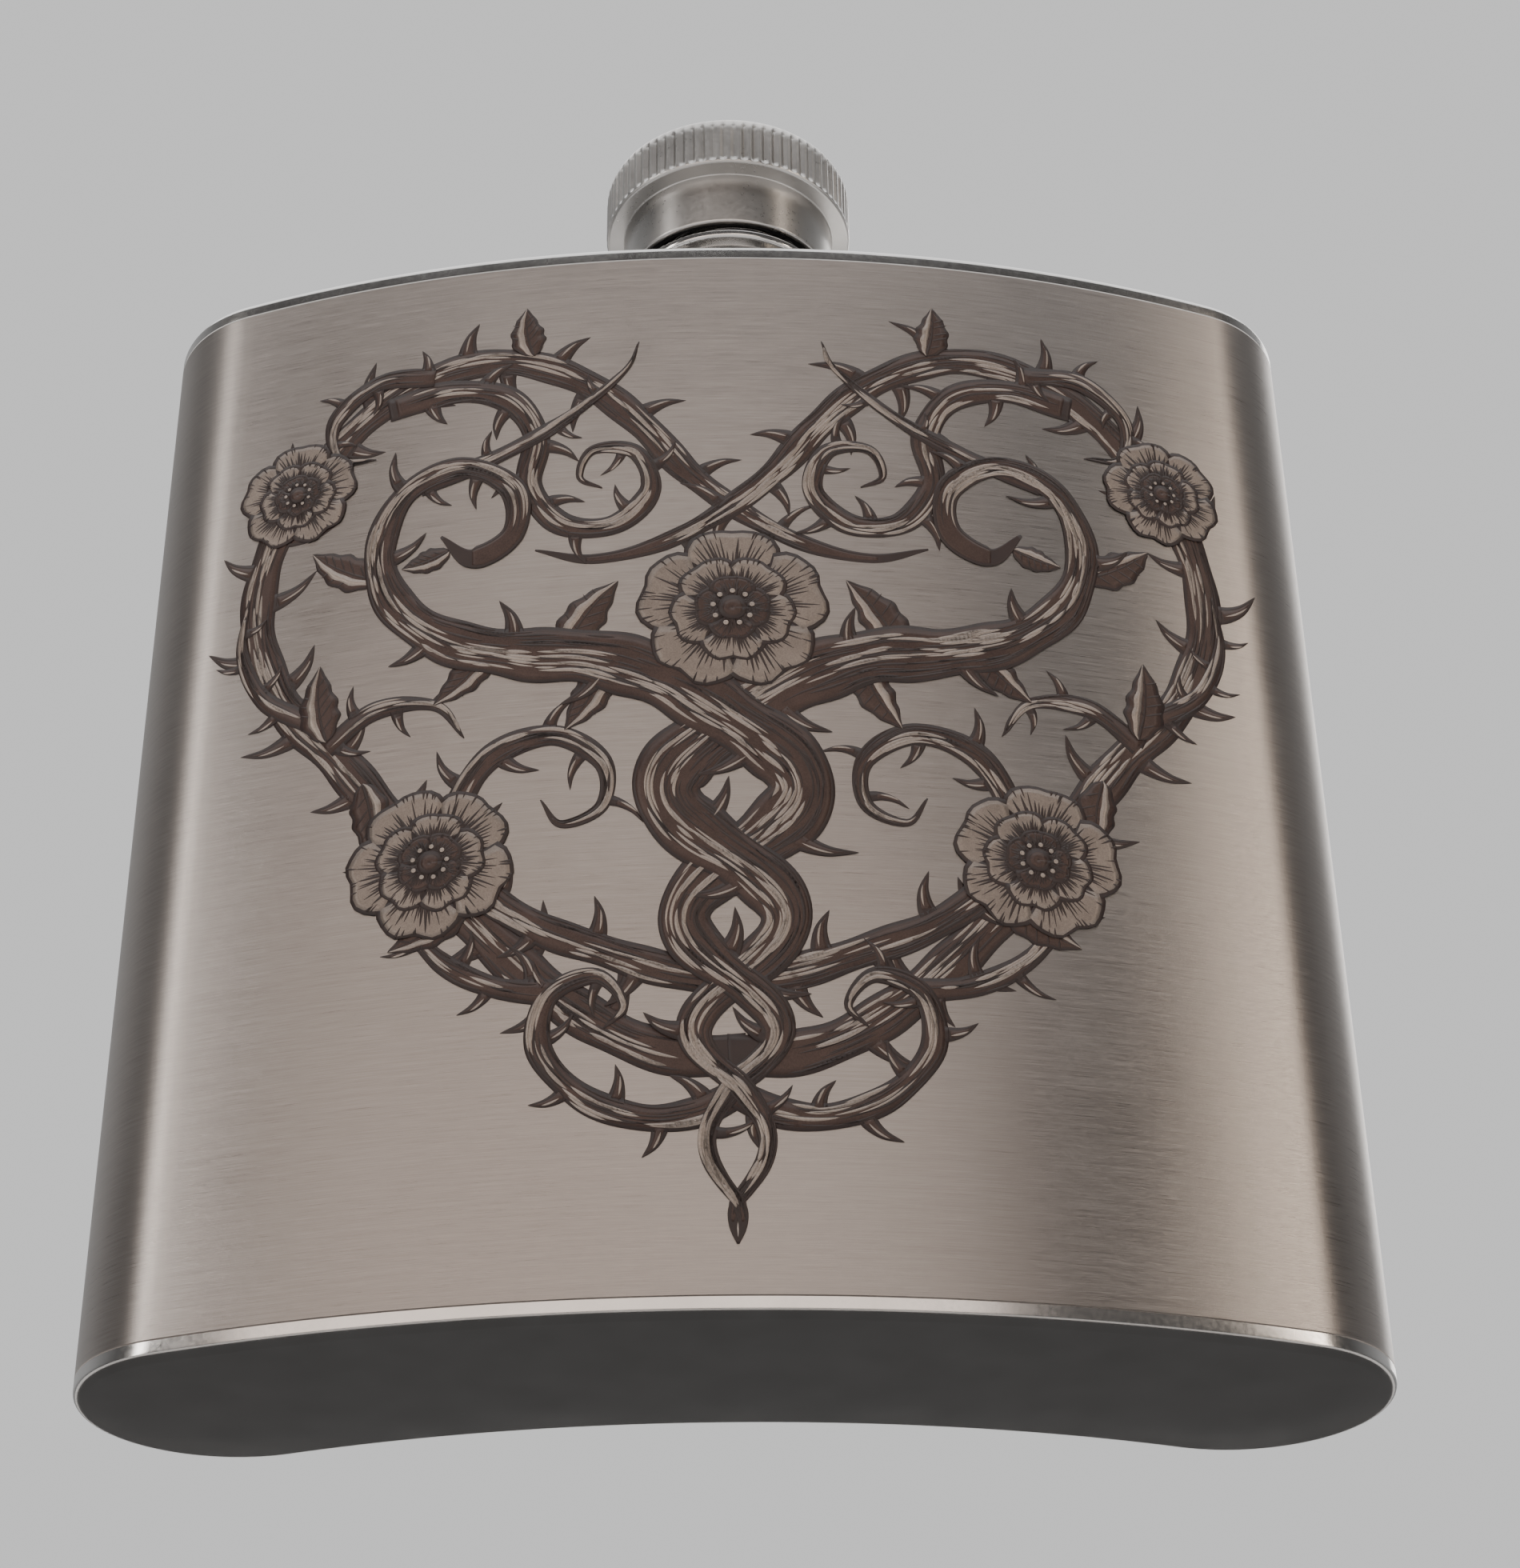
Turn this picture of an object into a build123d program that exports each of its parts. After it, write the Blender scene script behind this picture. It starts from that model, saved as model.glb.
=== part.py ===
"""Hip flask with a captive screw cap, as an assembly of its separate pieces.

Frame, in millimetres: the origin is the centre of the flat base under the axis of the
neck, +Z runs up the neck and -Y is the outward-curved front face. The flask stands shut.

The cap hangs on a lever behind it. The lever is hinged on a ring that is captive on the
neck, so the cap screws, lifts, tips backwards and turns round the neck without coming off.
"""

from build123d import *
from math import asin, degrees
import os

os.makedirs("parts", exist_ok=True)

# Body: a curved slab with fully rounded ends, wrapped from one sheet
BODY_WIDTH = 95.0
BODY_THICKNESS = 21.3
BODY_HEIGHT = 94.2
BODY_CURVE = 103.2  # radius of the middle line of the slab, seen from above
SHEET = 0.6
PLATE_RIM = 1.5  # height of the polished rim of the top and base plates
PLATE_ROUND = 0.7
PLATE_SHEET = 0.8
FLANGE_HEIGHT = 2.5  # upturned flange that laps inside the body sheet
FLANGE_SHEET = 0.5

# Neck
NECK_BORE = 5.4
NECK_OUTER = 6.2
NECK_TOP = 102.6
NECK_FOOT_RADIUS = 8.4
NECK_FOOT_SHEET = 0.8
NECK_TAIL = 1.4  # how far the tube reaches below its foot
SHOULDER_RADIUS = 7.2
SHOULDER_TOP = 96.8
NECK_LIP_ROUND = 0.25
THREAD_PITCH = 2.0
THREAD_CREST = 6.7
THREAD_START = 98.9
THREAD_TURNS = 1.4
THREAD_FOOT = 1.2
THREAD_TIP = 0.5
THREAD_BITE = 0.1  # depth the ridge is sunk into its wall

# Captive collar ring and the hinge it carries
RING_INNER = 6.28
RING_OUTER = 8.6
RING_BOTTOM = 96.9
RING_TOP = 97.8
RING_ROUND = 0.3
ARM_LAP = 1.2  # how far the hinge arm runs into the ring
PIN_Y = 13.0
PIN_Z = 99.5
PIN_RADIUS = 0.75
PIN_CLEARANCE = 0.04
PIN_HEAD_RADIUS = 1.3
PIN_HEAD_THICKNESS = 0.6
PIN_HEAD_ROUND = 0.36
PIN_END_PLAY = 0.15
KNUCKLE_RADIUS = 1.5
KNUCKLE_WIDTH = 3.8

# Lever: one strip, with two ears at its foot, bent forwards over the cap
LEVER_WIDTH = 6.0
LEVER_SHEET = 0.8
LEVER_FRONT = 11.0  # inside face of the upright part
LEVER_TOP = 110.3
LEVER_BEND = 1.8
STRIP_BOTTOM = 101.4
WEB_TOP = 104.4
EAR_OUTER = 3.0
EAR_RADIUS = 1.5
SLOT_TRAVEL = 3.0  # play of the pin in the oblong holes of the ears
SLOT_RADIUS = 0.85

# Cap: pressed shell with a ribbed head, threaded liner, gasket and rivet
SHELL_SHEET = 0.5
SKIRT_RADIUS = 9.05
SKIRT_BOTTOM = 98.2
HEAD_BOTTOM = 103.4
HEAD_RADIUS = 10.6
HEAD_WALL = 0.8
HEAD_TOP = 109.0
HEAD_ROUND = 1.6
HEAD_FOOT_ROUND = 0.3
RIBS = 74
RIB_GROOVE = 0.29
RIB_DEPTH = 0.25
RIB_RUNOUT = 0.6  # how far the grooves run up onto the rounded shoulder
LINER_BORE = 7.9
LINER_CREST = 7.5
LINER_BOTTOM = 98.6
LINER_TOP = 104.9
LINER_ROOF = 1.0
LINER_THREAD_START = 100.0
LINER_THREAD_TURNS = 1.2
GASKET_RADIUS = 7.8
GASKET_BOTTOM = 102.8
RIVET_RADIUS = 1.2
RIVET_CLEARANCE = 0.08
RIVET_HEAD_RADIUS = 2.5
RIVET_HEAD_HEIGHT = 0.9
RIVET_TAIL_RADIUS = 2.0
RIVET_TAIL_HEIGHT = 0.7
RIVET_TAIL_ROUND = 0.49
WASHER_RADIUS = 3.6
WASHER_SHEET = 0.4
BACKING_RADIUS = 3.2
BACKING_SHEET = 0.4
END_PLAY = 0.1


def keep(name, piece):
    """Name one finished piece and write its file."""
    piece.label = name
    export_step(piece, f"parts/{name}.step")


def body_outline(inset):
    """Footprint of the body drawn in by an inset: a slot bent along an arc."""
    reach = (BODY_WIDTH - BODY_THICKNESS) / 2
    half_turn = degrees(asin(reach / BODY_CURVE))
    middle = CenterArc((0, BODY_CURVE), BODY_CURVE, 270 - half_turn, 2 * half_turn)
    return SlotArc(middle, BODY_THICKNESS - 2 * inset)


def slab(inset, bottom, top):
    """Upright prism on the body footprint between two heights."""
    return Pos(0, 0, bottom) * extrude(body_outline(inset), top - bottom)


def disc(radius, bottom, top):
    """Solid disc about the Z axis between two heights."""
    return Pos(0, 0, bottom) * extrude(Circle(radius), top - bottom)


def tube(outer, inner, bottom, top):
    """Plain ring about the Z axis between two heights."""
    return Pos(0, 0, bottom) * extrude(Circle(outer) - Circle(inner), top - bottom)


def side_plane(x):
    """Plane across X whose own axes run along Y and Z."""
    return Plane(origin=(x, 0, 0), x_dir=(0, 1, 0), z_dir=(1, 0, 0))


def rod(radius, x_from, x_to):
    """Cylinder on the hinge line between two x values."""
    return side_plane(x_from) * extrude(Pos(PIN_Y, PIN_Z) * Circle(radius), x_to - x_from)


def plate_blank():
    """Pressed end plate, rim down: rounded rim, flat sheet, flange lapping in the body."""
    rim = slab(0, 0, PLATE_RIM)
    rim = fillet(rim.faces().sort_by(Axis.Z)[0].edges(), PLATE_ROUND)
    flange_top = PLATE_RIM + FLANGE_HEIGHT
    rim += slab(SHEET, PLATE_RIM, flange_top)
    return rim - slab(SHEET + FLANGE_SHEET, PLATE_SHEET, flange_top)


def ridge(root, crest, start, turns):
    """Helical thread ridge standing on a wall of the given radius."""
    height = THREAD_PITCH * turns
    path = Helix(THREAD_PITCH, height, root, center=(0, 0, start))
    outline = [
        (0, -THREAD_FOOT / 2),
        (crest - root, -THREAD_TIP / 2),
        (crest - root, THREAD_TIP / 2),
        (0, THREAD_FOOT / 2),
    ]
    plane = Plane(origin=path @ 0, x_dir=(1, 0, 0), z_dir=path % 0)
    return sweep(plane * Polygon(*outline, align=None), path, is_frenet=True)


def body_shell():
    """Body sheet, butted against the rims of both end plates."""
    bottom = PLATE_RIM
    top = BODY_HEIGHT - PLATE_RIM
    return slab(0, bottom, top) - slab(SHEET, bottom, top)


def top_plate():
    """End plate turned rim up, with the hole for the neck."""
    blank = Pos(0, 0, BODY_HEIGHT) * mirror(plate_blank(), Plane.XY)
    return blank - disc(NECK_OUTER, BODY_HEIGHT - 2, BODY_HEIGHT + 1)


def neck():
    """Neck tube: foot under the top plate, shoulder for the ring, rolled thread, soft lip."""
    foot_top = BODY_HEIGHT - PLATE_SHEET
    foot_bottom = foot_top - NECK_FOOT_SHEET
    outside = disc(NECK_OUTER, foot_bottom - NECK_TAIL, NECK_TOP)
    outside += disc(NECK_FOOT_RADIUS, foot_bottom, foot_top)
    outside += disc(SHOULDER_RADIUS, BODY_HEIGHT, SHOULDER_TOP)
    tube_body = outside - disc(NECK_BORE, foot_bottom - NECK_TAIL, NECK_TOP)
    lip = tube_body.faces().sort_by(Axis.Z)[-1].edges()
    tube_body = fillet(lip, NECK_LIP_ROUND)
    root = NECK_OUTER - THREAD_BITE
    return tube_body + ridge(root, THREAD_CREST, THREAD_START, THREAD_TURNS)


def collar_ring():
    """Captive ring with the arm and knuckle that carry the hinge pin."""
    ring = disc(RING_OUTER, RING_BOTTOM, RING_TOP)
    ring = fillet(ring.edges(), RING_ROUND)
    half = KNUCKLE_WIDTH / 2
    arm_start = RING_OUTER - ARM_LAP
    arm = Rectangle(PIN_Y - arm_start, RING_TOP - RING_BOTTOM, align=(Align.MIN, Align.MIN))
    arm = Pos(arm_start, RING_BOTTOM) * arm
    arm += Pos(PIN_Y, (RING_BOTTOM + PIN_Z) / 2) * Rectangle(
        2 * KNUCKLE_RADIUS, PIN_Z - RING_BOTTOM
    )
    arm += Pos(PIN_Y, PIN_Z) * Circle(KNUCKLE_RADIUS)
    ring += side_plane(-half) * extrude(arm, KNUCKLE_WIDTH)
    ring -= disc(RING_INNER, RING_BOTTOM - 1, RING_TOP + 1)
    return ring - rod(PIN_RADIUS + PIN_CLEARANCE, -half - 1, half + 1)


def hinge_pin():
    """Pin with a rounded head peened over at each end."""
    half = EAR_OUTER + PIN_END_PLAY
    pin = rod(PIN_RADIUS, -half, half)
    for side in (-1, 1):
        end = side * (half + PIN_HEAD_THICKNESS)
        head = rod(PIN_HEAD_RADIUS, min(side * half, end), max(side * half, end))
        outer_face = head.faces().sort_by(Axis.X)[0 if side < 0 else -1]
        pin += fillet(outer_face.edges(), PIN_HEAD_ROUND)
    return pin


def lever():
    """Strip behind and over the cap, with two ears that hold the pin in oblong holes."""
    back = LEVER_FRONT + LEVER_SHEET
    under = LEVER_TOP - LEVER_SHEET
    half = LEVER_WIDTH / 2
    strip = Rectangle(LEVER_SHEET, LEVER_TOP - STRIP_BOTTOM, align=(Align.MIN, Align.MIN))
    strip = Pos(LEVER_FRONT, STRIP_BOTTOM) * strip
    strip += Pos(0, under) * Rectangle(back, LEVER_SHEET, align=(Align.MIN, Align.MIN))
    outer_corner = strip.vertices().sort_by_distance((back, LEVER_TOP))[0]
    strip = fillet(outer_corner, LEVER_BEND)
    inner_corner = strip.vertices().sort_by_distance((LEVER_FRONT, under))[0]
    strip = fillet(inner_corner, LEVER_BEND - LEVER_SHEET)
    piece = side_plane(-half) * extrude(strip, LEVER_WIDTH)
    piece += disc(half, under, LEVER_TOP)
    slot_low = Pos(PIN_Y, PIN_Z - SLOT_TRAVEL)
    slot_mid = Pos(PIN_Y, PIN_Z - SLOT_TRAVEL / 2)
    slot_high = Pos(PIN_Y, PIN_Z)
    ear = slot_high * Circle(EAR_RADIUS) + slot_low * Circle(EAR_RADIUS)
    ear += slot_mid * Rectangle(2 * EAR_RADIUS, SLOT_TRAVEL)
    ear += Polygon(
        (PIN_Y - EAR_RADIUS, PIN_Z),
        (PIN_Y + EAR_RADIUS, PIN_Z),
        (back, WEB_TOP),
        (LEVER_FRONT, WEB_TOP),
        align=None,
    )
    ear -= slot_high * Circle(SLOT_RADIUS) + slot_low * Circle(SLOT_RADIUS)
    ear -= slot_mid * Rectangle(2 * SLOT_RADIUS, SLOT_TRAVEL)
    for x in (-EAR_OUTER, EAR_OUTER - LEVER_SHEET):
        piece += side_plane(x) * extrude(ear, LEVER_SHEET)
    return piece - disc(RIVET_RADIUS, under - 1, LEVER_TOP + 1)


def cap_shell():
    """Pressed cap: plain skirt below, wider head with upright ribs above."""
    outside = disc(SKIRT_RADIUS, SKIRT_BOTTOM, HEAD_TOP - HEAD_ROUND)
    head = disc(HEAD_RADIUS, HEAD_BOTTOM, HEAD_TOP)
    head = fillet(head.faces().sort_by(Axis.Z)[-1].edges(), HEAD_ROUND)
    head = fillet(head.faces().sort_by(Axis.Z)[0].edges(), HEAD_FOOT_ROUND)
    rib_top = HEAD_TOP - HEAD_ROUND
    groove = disc(RIB_GROOVE, HEAD_BOTTOM - 1, rib_top + RIB_RUNOUT)
    groove_line = HEAD_RADIUS + RIB_GROOVE - RIB_DEPTH
    head -= [place * groove for place in PolarLocations(groove_line, RIBS)]
    outside += head
    outside -= disc(SKIRT_RADIUS - SHELL_SHEET, SKIRT_BOTTOM, HEAD_BOTTOM + HEAD_WALL)
    hollow = disc(
        HEAD_RADIUS - HEAD_WALL, HEAD_BOTTOM + HEAD_WALL, HEAD_TOP - SHELL_SHEET
    )
    hollow = fillet(hollow.faces().sort_by(Axis.Z)[-1].edges(), HEAD_ROUND - SHELL_SHEET)
    outside -= hollow
    return outside - disc(RIVET_RADIUS + RIVET_CLEARANCE, HEAD_TOP - 2, HEAD_TOP + 1)


def cap_liner():
    """Cup pressed into the skirt, threaded inside."""
    outer = SKIRT_RADIUS - SHELL_SHEET
    cup = disc(outer, LINER_BOTTOM, LINER_TOP)
    cup -= disc(LINER_BORE, LINER_BOTTOM, LINER_TOP - LINER_ROOF)
    root = LINER_BORE + THREAD_BITE
    return cup + ridge(root, LINER_CREST, LINER_THREAD_START, LINER_THREAD_TURNS)


def rivet():
    """Domed rivet through the lever and the cap, peened over under the backing washer."""
    dome_radius = (RIVET_HEAD_RADIUS**2 + RIVET_HEAD_HEIGHT**2) / (2 * RIVET_HEAD_HEIGHT)
    dome = Pos(0, 0, LEVER_TOP + RIVET_HEAD_HEIGHT - dome_radius) * Sphere(dome_radius)
    head = dome & disc(RIVET_HEAD_RADIUS, LEVER_TOP, LEVER_TOP + RIVET_HEAD_HEIGHT)
    tail_top = HEAD_TOP - SHELL_SHEET - BACKING_SHEET - END_PLAY
    tail = disc(RIVET_TAIL_RADIUS, tail_top - RIVET_TAIL_HEIGHT, tail_top)
    tail = fillet(tail.faces().sort_by(Axis.Z)[0].edges(), RIVET_TAIL_ROUND)
    return head + disc(RIVET_RADIUS, tail_top - 0.1, LEVER_TOP + 0.1) + tail


keep("body_shell", body_shell())
keep("base_plate", plate_blank())
keep("top_plate", top_plate())
keep("neck", neck())
keep("collar_ring", collar_ring())
keep("hinge_pin", hinge_pin())
keep("lever", lever())
keep("rivet", rivet())
washer_top = LEVER_TOP - LEVER_SHEET
keep("lever_washer", tube(WASHER_RADIUS, RIVET_RADIUS, washer_top - WASHER_SHEET, washer_top))
keep("cap_shell", cap_shell())
shell_roof = HEAD_TOP - SHELL_SHEET
backing_hole = RIVET_RADIUS + RIVET_CLEARANCE
keep(
    "backing_washer",
    tube(BACKING_RADIUS, backing_hole, shell_roof - BACKING_SHEET, shell_roof),
)
keep("cap_liner", cap_liner())
keep("cap_gasket", disc(GASKET_RADIUS, GASKET_BOTTOM, LINER_TOP - LINER_ROOF))
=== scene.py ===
"""Looks of the hip flask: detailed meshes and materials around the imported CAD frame.

Sizes of the flask are millimetres and follow the CAD part; MM turns them to metres. The stage
is in metres. +Z runs up the neck and the outward-curved front face looks along -Y.
"""

import math
import random

import bmesh
import bpy
from mathutils import Matrix, Vector


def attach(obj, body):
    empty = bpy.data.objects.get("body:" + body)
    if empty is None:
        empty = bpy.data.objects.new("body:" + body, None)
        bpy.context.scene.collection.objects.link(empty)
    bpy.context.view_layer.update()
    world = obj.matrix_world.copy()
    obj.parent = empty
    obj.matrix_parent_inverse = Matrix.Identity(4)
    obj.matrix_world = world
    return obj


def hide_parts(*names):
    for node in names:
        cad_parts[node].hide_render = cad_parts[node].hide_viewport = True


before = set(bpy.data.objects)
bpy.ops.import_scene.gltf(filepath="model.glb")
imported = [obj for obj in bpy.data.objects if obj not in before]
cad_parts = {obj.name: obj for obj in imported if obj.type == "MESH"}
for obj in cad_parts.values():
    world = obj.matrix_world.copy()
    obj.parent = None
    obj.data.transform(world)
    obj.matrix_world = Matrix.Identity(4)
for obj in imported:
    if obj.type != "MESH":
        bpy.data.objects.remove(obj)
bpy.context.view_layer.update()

MM = 0.001
TAU = 2 * math.pi
UV_SPAN = 100  # millimetres of surface to one unit of the UV map
SHARP_ANGLE = 32  # edges that turn more than this many degrees stay sharp
SAME = 0.001  # two lengths this close are equal

# Body: sizes of the CAD part, then how finely the mesh follows them
BODY_WIDTH = 95.0
BODY_THICKNESS = 21.3
BODY_HEIGHT = 94.2
BODY_CURVE = 103.2
SHEET = 0.6
PLATE_RIM = 1.5
PLATE_ROUND = 0.7
PLATE_SHEET = 0.8
FLANGE_HEIGHT = 2.5
FLANGE_SHEET = 0.5
SEAM_DEPTH = 0.06  # fine step where the brushed sheet meets a polished rim
HALF_TURN = math.asin((BODY_WIDTH - BODY_THICKNESS) / 2 / BODY_CURVE)
FRONT_RADIUS = BODY_CURVE + BODY_THICKNESS / 2
BACK_STEPS = 22  # points on half of the back face
END_STEPS = 44  # points round each end
FRONT_STEPS = 90
END_COLUMN = BACK_STEPS + END_STEPS // 2
BODY_ROWS = 24  # rows of cells up the body sheet
RIM_STEPS = 12  # cells round the edge of an end plate
BASE_RING = 5.0  # radius of the innermost ring of points in the base

# Neck and collar
NECK_BORE = 5.4
NECK_OUTER = 6.2
NECK_TOP = 102.6
NECK_FOOT = 8.4
NECK_FOOT_SHEET = 0.8
NECK_TAIL = 1.4
SHOULDER_RADIUS = 7.2
SHOULDER_TOP = 96.8
THREAD_PITCH = 2.0
THREAD_CREST = 6.7
THREAD_START = 98.9
THREAD_TURNS = 1.4
THREAD_FOOT = 1.2
THREAD_TIP = 0.5
THREAD_RUNOUT = 0.06  # part of a turn over which the thread rises and falls
NECK_COLUMNS = 180
THREAD_ROW = 0.04  # widest cell up the threaded wall

# Cap
SHELL_SHEET = 0.5
SKIRT_RADIUS = 9.05
SKIRT_BOTTOM = 98.2
HEAD_BOTTOM = 103.4
HEAD_RADIUS = 10.6
HEAD_WALL = 0.8
HEAD_TOP = 109.0
HEAD_ROUND = 1.6
RIBS = 74
RIB_DEPTH = 0.25
RIB_WEAR = (0.75, 1.0)  # the grooves are this much of their full depth
RIB_HOLLOW = 1.6  # the higher, the narrower each groove
RIB_LOW = HEAD_BOTTOM + 0.15
RIB_HIGH = HEAD_TOP - HEAD_ROUND + 0.8
RIB_LOW_FADE = 0.35
RIB_HIGH_FADE = 0.5
RIB_REACH = 0.35  # the grooves touch the wall down to this depth under the head radius
RIB_ROW = 0.25  # widest cell up the ribbed wall
RIB_COLUMNS = 8  # cells round each rib
RIVET_RADIUS = 1.2
RIVET_CLEARANCE = 0.08


# ---------------------------------------------------------------- mesh helpers


def add_piece(name, points, faces, body, material, uvs=None, solid=True):
    """Make one shown mesh from points in millimetres, smooth except at sharp edges."""
    mesh = bpy.data.meshes.new(name)
    mesh.from_pydata([[c * MM for c in p] for p in points], [], faces)
    if uvs is not None:
        layer = mesh.uv_layers.new(name="UVMap")
        flat = [value for face in uvs for corner in face for value in corner]
        layer.data.foreach_set("uv", flat)
    if solid:
        work = bmesh.new()
        work.from_mesh(mesh)
        bmesh.ops.recalc_face_normals(work, faces=work.faces)
        work.to_mesh(mesh)
        work.free()
    mesh.shade_smooth()
    mesh.set_sharp_from_angle(angle=math.radians(SHARP_ANGLE))
    mesh.update()
    piece = bpy.data.objects.new(name, mesh)
    bpy.context.scene.collection.objects.link(piece)
    mesh.materials.append(material)
    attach(piece, body)
    return piece


def round_profile(corners, steps=6):
    """Turn (a, b, radius) corners into a polyline with an arc at each corner."""
    line = []
    count = len(corners)
    for index, (a, b, radius) in enumerate(corners):
        here = Vector((a, b))
        if radius == 0:
            line.append((a, b))
            continue
        back = Vector(corners[index - 1][:2]) - here
        ahead = Vector(corners[(index + 1) % count][:2]) - here
        back.normalize()
        ahead.normalize()
        half = back.angle(ahead) / 2
        reach = radius / math.tan(half)
        middle = here + (back + ahead).normalized() * (radius / math.sin(half))
        start = here + back * reach - middle
        end = here + ahead * reach - middle
        sweep = start.angle_signed(end)
        for step in range(steps + 1):
            turned = start.copy()
            turned.rotate(Matrix.Rotation(-sweep * step / steps, 2))
            line.append(tuple(middle + turned))
    return line


def ring_faces(rows, columns, close_rows):
    """Quads between rings of points, and their (column, row) corners without wrapping round."""
    faces = []
    corners = []
    last = rows if close_rows else rows - 1
    for row in range(last):
        above = (row + 1) % rows
        for column in range(columns):
            beside = (column + 1) % columns
            faces.append(
                (
                    row * columns + column,
                    row * columns + beside,
                    above * columns + beside,
                    above * columns + column,
                )
            )
            corners.append(
                ((column, row), (column + 1, row), (column + 1, row + 1), (column, row + 1))
            )
    return faces, corners


def lathe(name, profile, columns, body, material, shape):
    """Revolve a closed (r, z) profile about Z; shape(angle, r, z) gives each point's radius."""
    points = []
    lengths = [0.0]
    for row, (r, z) in enumerate(profile):
        for column in range(columns):
            angle = TAU * column / columns
            radius = shape(angle, r, z)
            points.append((radius * math.cos(angle), radius * math.sin(angle), z))
        after = profile[(row + 1) % len(profile)]
        lengths.append(lengths[-1] + math.dist((r, z), after))
    faces, corners = ring_faces(len(profile), columns, True)
    around = TAU * max(r for r, z in profile) / UV_SPAN
    uvs = [[(around * c / columns, lengths[row] / UV_SPAN) for c, row in face] for face in corners]
    return add_piece(name, points, faces, body, material, uvs)


def body_outline(inset):
    """Footprint of the body as (x, y, length round the outside), from the middle of the back."""
    half = BODY_THICKNESS / 2 - inset
    full = BODY_THICKNESS / 2
    points = []
    length = 0.0

    def arc(centre, radius, full_radius, start, end, count):
        nonlocal length
        for step in range(count):
            angle = start + (end - start) * step / count
            x = centre[0] + radius * math.cos(angle)
            y = centre[1] + radius * math.sin(angle)
            points.append((x, y, length + abs(angle - start) * full_radius))
        length += abs(end - start) * full_radius

    middle = (0, BODY_CURVE)
    down = -math.pi / 2
    right = (BODY_CURVE * math.sin(HALF_TURN), BODY_CURVE * (1 - math.cos(HALF_TURN)))
    left = (-right[0], right[1])
    inner = BODY_CURVE - half
    outer = BODY_CURVE + half
    arc(middle, inner, BODY_CURVE - full, down, down + HALF_TURN, BACK_STEPS)
    arc(right, half, full, math.pi / 2 + HALF_TURN, down + HALF_TURN, END_STEPS)
    arc(middle, outer, BODY_CURVE + full, down + HALF_TURN, down - HALF_TURN, FRONT_STEPS)
    arc(left, half, full, down - HALF_TURN, down - HALF_TURN - math.pi, END_STEPS)
    arc(middle, inner, BODY_CURVE - full, down - HALF_TURN, down, BACK_STEPS)
    return points, length


def folded(girths):
    """Lengths round the body folded at its two ends, so that the finish has no seam."""
    total = girths[-1]
    end = girths[END_COLUMN]
    front = total - 2 * end
    unfolded = []
    for girth in girths:
        if end <= girth <= total - end:
            unfolded.append(girth - end)
        else:
            behind = end - girth if girth < end else girth - total + end
            along = behind * front / (2 * end)
            unfolded.append(along if girth < end else front - along)
    return unfolded


def body_loft(name, levels, body, material, closed=True):
    """Stack rings into one piece: body outlines as (inset, z), circles as ("circle", r, z).

    A section that isn't closed gets a flat end on its first and last ring.
    """
    points = []
    lengths = [0.0]
    outside, total = body_outline(0)
    bearings = [math.atan2(y, x) for x, y, _ in outside]
    girths = folded([p[2] for p in outside] + [total])
    columns = len(outside)
    for row, level in enumerate(levels):
        *_, size, z = level
        if len(level) == 3:
            points.extend((size * math.cos(a), size * math.sin(a), z) for a in bearings)
        else:
            points.extend((x, y, z) for x, y, _ in body_outline(size)[0])
        after = levels[(row + 1) % len(levels)]
        lengths.append(lengths[-1] + math.dist(level[-2:], after[-2:]))
    faces, corners = ring_faces(len(levels), columns, closed)
    uvs = [
        [(girths[c] / UV_SPAN, lengths[row] / UV_SPAN) for c, row in face] for face in corners
    ]
    if not closed:
        last = (len(levels) - 1) * columns
        for first in (0, last):
            ring = [first + c for c in range(columns)]
            faces.append(tuple(ring))
            uvs.append([(points[i][0] / UV_SPAN, points[i][1] / UV_SPAN) for i in ring])
    return add_piece(name, points, faces, body, material, uvs)


# ------------------------------------------------------------------- materials


def new_material(name):
    """Empty node material with its Principled shader."""
    material = bpy.data.materials.new(name)
    material.use_nodes = True
    return material, material.node_tree, material.node_tree.nodes["Principled BSDF"]


def node(tree, kind, **values):
    """Add a node and set its fields or, where the name is a socket, its inputs."""
    made = tree.nodes.new(kind)
    for key, value in values.items():
        if key in made.inputs:
            made.inputs[key].default_value = value
        else:
            setattr(made, key, value)
    return made


def stretched_noise(tree, scale, detail, coordinate="UV", roughness=0.5):
    """Noise stretched by a per-axis scale on the given texture coordinate."""
    place = node(tree, "ShaderNodeTexCoord")
    mapping = node(tree, "ShaderNodeMapping")
    mapping.inputs["Scale"].default_value = scale
    tree.links.new(place.outputs[coordinate], mapping.inputs["Vector"])
    noise = node(tree, "ShaderNodeTexNoise", Scale=1.0, Detail=detail, Roughness=roughness)
    tree.links.new(mapping.outputs["Vector"], noise.inputs["Vector"])
    return noise.outputs["Fac"]


def remap(tree, source, low, high, from_low=0.3, from_high=0.7):
    """Map a texture's middle range onto low..high."""
    made = node(tree, "ShaderNodeMapRange")
    made.inputs["From Min"].default_value = from_low
    made.inputs["From Max"].default_value = from_high
    made.inputs["To Min"].default_value = low
    made.inputs["To Max"].default_value = high
    tree.links.new(source, made.inputs["Value"])
    return made.outputs["Result"]


def mix_colour(tree, factor, first, second):
    """Blend two colours by a factor socket."""
    made = node(tree, "ShaderNodeMix", data_type="RGBA")
    tree.links.new(factor, made.inputs["Factor"])
    for socket, colour in (("A", first), ("B", second)):
        target = [i for i in made.inputs if i.name == socket and i.type == "RGBA"][0]
        if isinstance(colour, bpy.types.NodeSocket):
            tree.links.new(colour, target)
        else:
            target.default_value = (*colour, 1)
    return [o for o in made.outputs if o.type == "RGBA"][0]


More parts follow.
